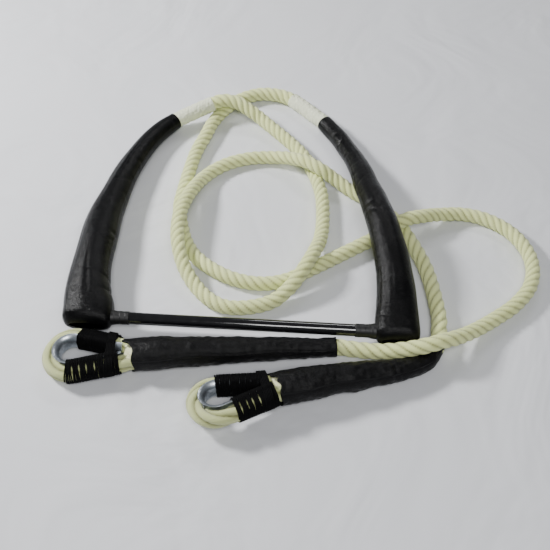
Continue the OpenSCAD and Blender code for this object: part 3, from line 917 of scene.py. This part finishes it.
class TRAPEZE_OT_eyes(bpy.types.Operator):
    """Build the rope eyes with their splices and the galvanised thimbles"""

    bl_idname = "trapeze.eyes"
    bl_label = "Eyes and thimbles"

    def execute(self, context):
        for side in SIDES:
            settle(self.splice(side), "bound rope", "rope_cotton", f"{side}_eye_rope")
            self.thimble(side)
        return {"FINISHED"}

    def splice(self, side):
        """Tucked strands inside the sleeve, wide and flat where they leave the eye."""
        route = [tuple(in_eye(side, [SPLICE_X - 0.010, 0, 0])) + (0.0285, 0.0155)]
        route += [(x, y, z, wide - 0.0045, tall - 0.0045) for x, y, z, wide, tall
                  in SLEEVES[side][1:6]]
        line, _, run = evenly(route, 0.004)
        turn = angles(line, sides=60)
        lobes = np.abs(np.sin(2 * (turn + math.tau * run[:, None] / 0.15)))
        share = 0.86 + 0.14 * np.sqrt(lobes)
        # Painted shade in the valleys between the tucked strands.
        groove = (1 - lobes) ** 3
        return skin(f"{side}_rope_splice", padded_rings(line, turn, share),
                    attributes={"groove": groove}, along=run)

    def thimble(self, side):
        """Section spun round the crown, then drawn out along both legs."""
        low = [(0.0, 8.0), (0.5, 10.4), (1.6, 12.9), (3.2, 15.3), (5.3, 17.4), (7.8, 19.2),
               (10.2, 20.3), (11.6, 20.4), (12.2, 19.6), (11.6, 18.6), (9.8, 17.5), (7.8, 15.8),
               (6.2, 13.8), (5.0, 11.4), (4.2, 8.6), (3.7, 4.5)]
        section = [(x, -z) for x, z in low] + [(3.6, 0.0)] + low[::-1]
        section = [(THIMBLE_R + x / 1000, THIMBLE_RISE + z / 1000) for x, z in section]
        bpy.ops.object.select_all(action="DESELECT")
        bpy.ops.mesh.primitive_circle_add(vertices=len(section), fill_type="NGON")
        piece = bpy.context.object
        turn = math.pi / 2 - LEG_TURN
        for vertex, (x, z) in zip(piece.data.vertices, section):
            vertex.co = (x * math.cos(turn), x * math.sin(turn), z)
        bpy.ops.object.mode_set(mode="EDIT")
        bpy.ops.mesh.select_all(action="SELECT")
        bpy.ops.mesh.spin(steps=44, angle=-math.pi - 2 * LEG_TURN, center=(0, 0, 0),
                          axis=(0, 0, 1), use_normal_flip=False)
        pull = THIMBLE_LEG / 4
        grid = bmesh.from_edit_mesh(piece.data)
        for way in (1, -1):
            angle = way * turn
            bpy.ops.mesh.select_all(action="DESELECT")
            for face in grid.faces:
                middle = face.calc_center_median()
                if len(face.verts) > 4 and abs(math.atan2(middle.y, middle.x) - angle) < 0.01:
                    face.select_set(True)
            bmesh.update_edit_mesh(piece.data)
            for _ in range(4):
                bpy.ops.mesh.extrude_region_move(TRANSFORM_OT_translate={"value": (
                    pull * math.cos(LEG_TURN), -way * pull * math.sin(LEG_TURN), 0)})
            grid = bmesh.from_edit_mesh(piece.data)
        bpy.ops.mesh.select_all(action="SELECT")
        bpy.ops.mesh.remove_doubles(threshold=0.00001)
        bpy.ops.mesh.normals_make_consistent(inside=False)
        bpy.ops.object.mode_set(mode="OBJECT")
        points = np.array([v.co for v in piece.data.vertices])
        placed = in_eye(side, points) + MIDDLE
        piece.data.vertices.foreach_set("co", placed.ravel())
        piece.data.update()
        piece.name = f"{side}_zinc_thimble"
        bpy.ops.object.shade_smooth_by_angle(angle=math.radians(40))
        settle(piece, "zinc", "thimble_zinc", f"{side}_thimble")


# ---- Whippings ----
class TRAPEZE_OT_whippings(bpy.types.Operator):
    """Wind the black twine that binds the thimble's legs to the rope"""

    bl_idname = "trapeze.whippings"
    bl_label = "Whippings"

    # Where each whipping runs along its leg, and after which turns it parts.
    upper_run = {"left": (-0.007, 0.083), "right": (0.002, 0.081)}
    lower_run = {"left": (0.017, 0.102), "right": (-0.014, 0.089)}
    slots = {"left": (3.5, 8.5, 12.5, 17.5, 22.5), "right": (4.5, 9.5, 14.5, 20.5, 27.5)}

    def execute(self, context):
        s = context.scene.trapeze_leather
        for number, side in enumerate(SIDES):
            upper = self.turns(side, 1, s, 91 + number, *self.upper_run[side], ())
            lower = self.turns(side, -1, s, 95 + number, *self.lower_run[side], self.slots[side])
            for row, pieces in (("upper", [upper]), ("lower", [lower, self.neck(side, s)])):
                settle(joined(f"{side}_{row}_twine", pieces), "black twine", "black_twine",
                       f"{side}_{row}_whipping")
        return {"FINISHED"}

    def tube(self, name, path, radius):
        t = np.gradient(path, axis=0)
        t /= np.linalg.norm(t, axis=1)[:, None]
        up = np.cross(t, [0.31, 0.12, 0.94])
        up /= np.linalg.norm(up, axis=1)[:, None]
        side = np.cross(up, t)
        turn = circle(8)
        points = (path[:, None, :] + up[:, None, :] * np.cos(turn)[None, :, None] * radius
                  + side[:, None, :] * np.sin(turn)[None, :, None] * radius)
        return skin(name, points[:, ::-1], run_along(path))

    def turns(self, side, way, s, seed, first, last, slots):
        """One twine wound round rope and thimble leg; slots part the turns on top."""
        rng = np.random.default_rng(seed)
        steps, pitch = 44, s.twine * 0.9
        count = int(round((last - first) / pitch))
        number = np.arange(count * steps + 1) / steps
        angle = number * math.tau
        near = np.interp(number, np.arange(count + 2), rng.uniform(-1, 1, count + 2))
        spots = first + number * pitch + 0.0005 * near + 0.0010 * np.sin(angle)
        share = number % 1.0
        upward = np.exp(-((share - 0.17) / 0.075) ** 2)
        for slot in slots:
            gap = number - slot - 0.17
            spots = spots + upward * 0.0022 * np.sign(gap) * np.exp(-np.abs(gap) / 1.5)
        spots = np.clip(spots, first - 0.001, None)
        on_leg = spots >= 0
        a = math.pi / 2 - LEG_TURN - np.minimum(spots, 0) / CROWN_R
        x = np.where(on_leg, LEG_START[0] + spots * math.cos(LEG_TURN), CROWN_R * np.cos(a))
        y = np.where(on_leg, LEG_START[1] - spots * math.sin(LEG_TURN), CROWN_R * np.sin(a))
        layer = 0.0006 * np.sin(number * 1.7 + seed) ** 2
        out, rise = self.outline(share, s.twine / 2, layer)
        path = np.stack([x + out * np.cos(a), way * (y + out * np.sin(a)), rise], axis=-1)
        return self.tube(f"{side}_turns", in_eye(side, path), s.twine / 2)

    @staticmethod
    def outline(share, clear, layer):
        """Place on the outline drawn tight round the rope and the thimble's leg."""
        around = circle(60)
        rope = np.stack([np.cos(around), np.sin(around)], axis=-1) * (EYE_ROPE_R + clear)
        inner, tip = THIMBLE_R - CROWN_R, THIMBLE_R - CROWN_R + 0.011
        corners = [(x, THIMBLE_RISE + z) for x, z in (
            (inner - clear, -0.010), (inner - clear, 0.010), (inner + 0.005, -0.019 - clear),
            (inner + 0.005, 0.019 + clear), (tip, -0.0205 - clear), (tip, 0.0205 + clear))]
        points = sorted(map(tuple, np.concatenate([rope, corners]).tolist()))
        hull = []
        for chain in (points, points[::-1]):
            side = []
            for p in chain:
                while len(side) > 1 and ((side[-1][0] - side[-2][0]) * (p[1] - side[-2][1])
                                         <= (side[-1][1] - side[-2][1]) * (p[0] - side[-2][0])):
                    side.pop()
                side.append(p)
            hull += side[:-1]
        hull = np.array(hull)
        start = int(np.argmax(hull[:, 0]))
        loop = np.roll(hull, -start, axis=0)
        loop = np.concatenate([loop, loop[:1]])
        run = run_along(loop)
        at = share * run[-1]
        out, rise = (np.interp(at, run, loop[:, i]) for i in (0, 1))
        away = np.arctan2(rise - THIMBLE_RISE, out + 0.002)
        return out + layer * np.cos(away), rise + layer * np.sin(away)

    def neck(self, side, s):
        """Turns round both legs near the thimble's point."""
        steps, count = 60, 6
        number = np.arange(count * steps + 1) / steps
        angle = number * math.tau
        x = (0.084 if side == "left" else 0.070) + number * s.twine * 0.95
        x = x + 0.0012 * np.sin(angle)
        reach = LEG_START[1] - (x - LEG_START[0]) * math.tan(LEG_TURN) + EYE_ROPE_R + 0.0045
        soft = lambda v: np.sign(v) * np.abs(v) ** 0.8
        path = np.stack([x, soft(np.cos(angle)) * reach, soft(np.sin(angle))
                         * (EYE_ROPE_R + 0.0055) + THIMBLE_RISE * 0.6], axis=-1)
        return self.tube(f"{side}_neck", in_eye(side, path), s.twine / 2)


class TRAPEZE_OT_declare(bpy.types.Operator):
    bl_idname = "trapeze.declare"
    bl_label = "Declare ropes"

    def execute(self, context):
        return {"FINISHED"}


class TRAPEZE_PT_panel(bpy.types.Panel):
    """Trapeze pieces"""

    bl_label = "Trapeze"
    bl_idname = "TRAPEZE_PT_panel"
    bl_space_type = "VIEW_3D"
    bl_region_type = "UI"
    bl_category = "Trapeze"

    def draw(self, context):
        for step in STEPS:
            self.layout.operator(step.bl_idname)
        for key in SETTINGS:
            box = self.layout.box()
            settings = getattr(context.scene, key)
            for name in settings.__annotations__:
                box.prop(settings, name)


SETTINGS = {"trapeze_stage": TrapezeStageSettings, "trapeze_rope": TrapezeRopeSettings,
            "trapeze_leather": TrapezeLeatherSettings}
STEPS = (TRAPEZE_OT_stage, TRAPEZE_OT_bar, TRAPEZE_OT_ropes, TRAPEZE_OT_arms, TRAPEZE_OT_tapes,
         TRAPEZE_OT_sleeves, TRAPEZE_OT_eyes, TRAPEZE_OT_whippings, TRAPEZE_OT_declare)


def register():
    for kind in (*SETTINGS.values(), *STEPS, TRAPEZE_PT_panel):
        bpy.utils.register_class(kind)
    for key, kind in SETTINGS.items():
        setattr(bpy.types.Scene, key, bpy.props.PointerProperty(type=kind))


def unregister():
    for key in SETTINGS:
        delattr(bpy.types.Scene, key)
    for kind in (TRAPEZE_PT_panel, *reversed(STEPS), *SETTINGS.values()):
        bpy.utils.unregister_class(kind)


def main():
    register()
    bpy.ops.object.select_all(action="DESELECT")
    for step in STEPS:
        group, name = step.bl_idname.split(".")
        getattr(getattr(bpy.ops, group), name)()


if __name__ == "__main__":
    main()
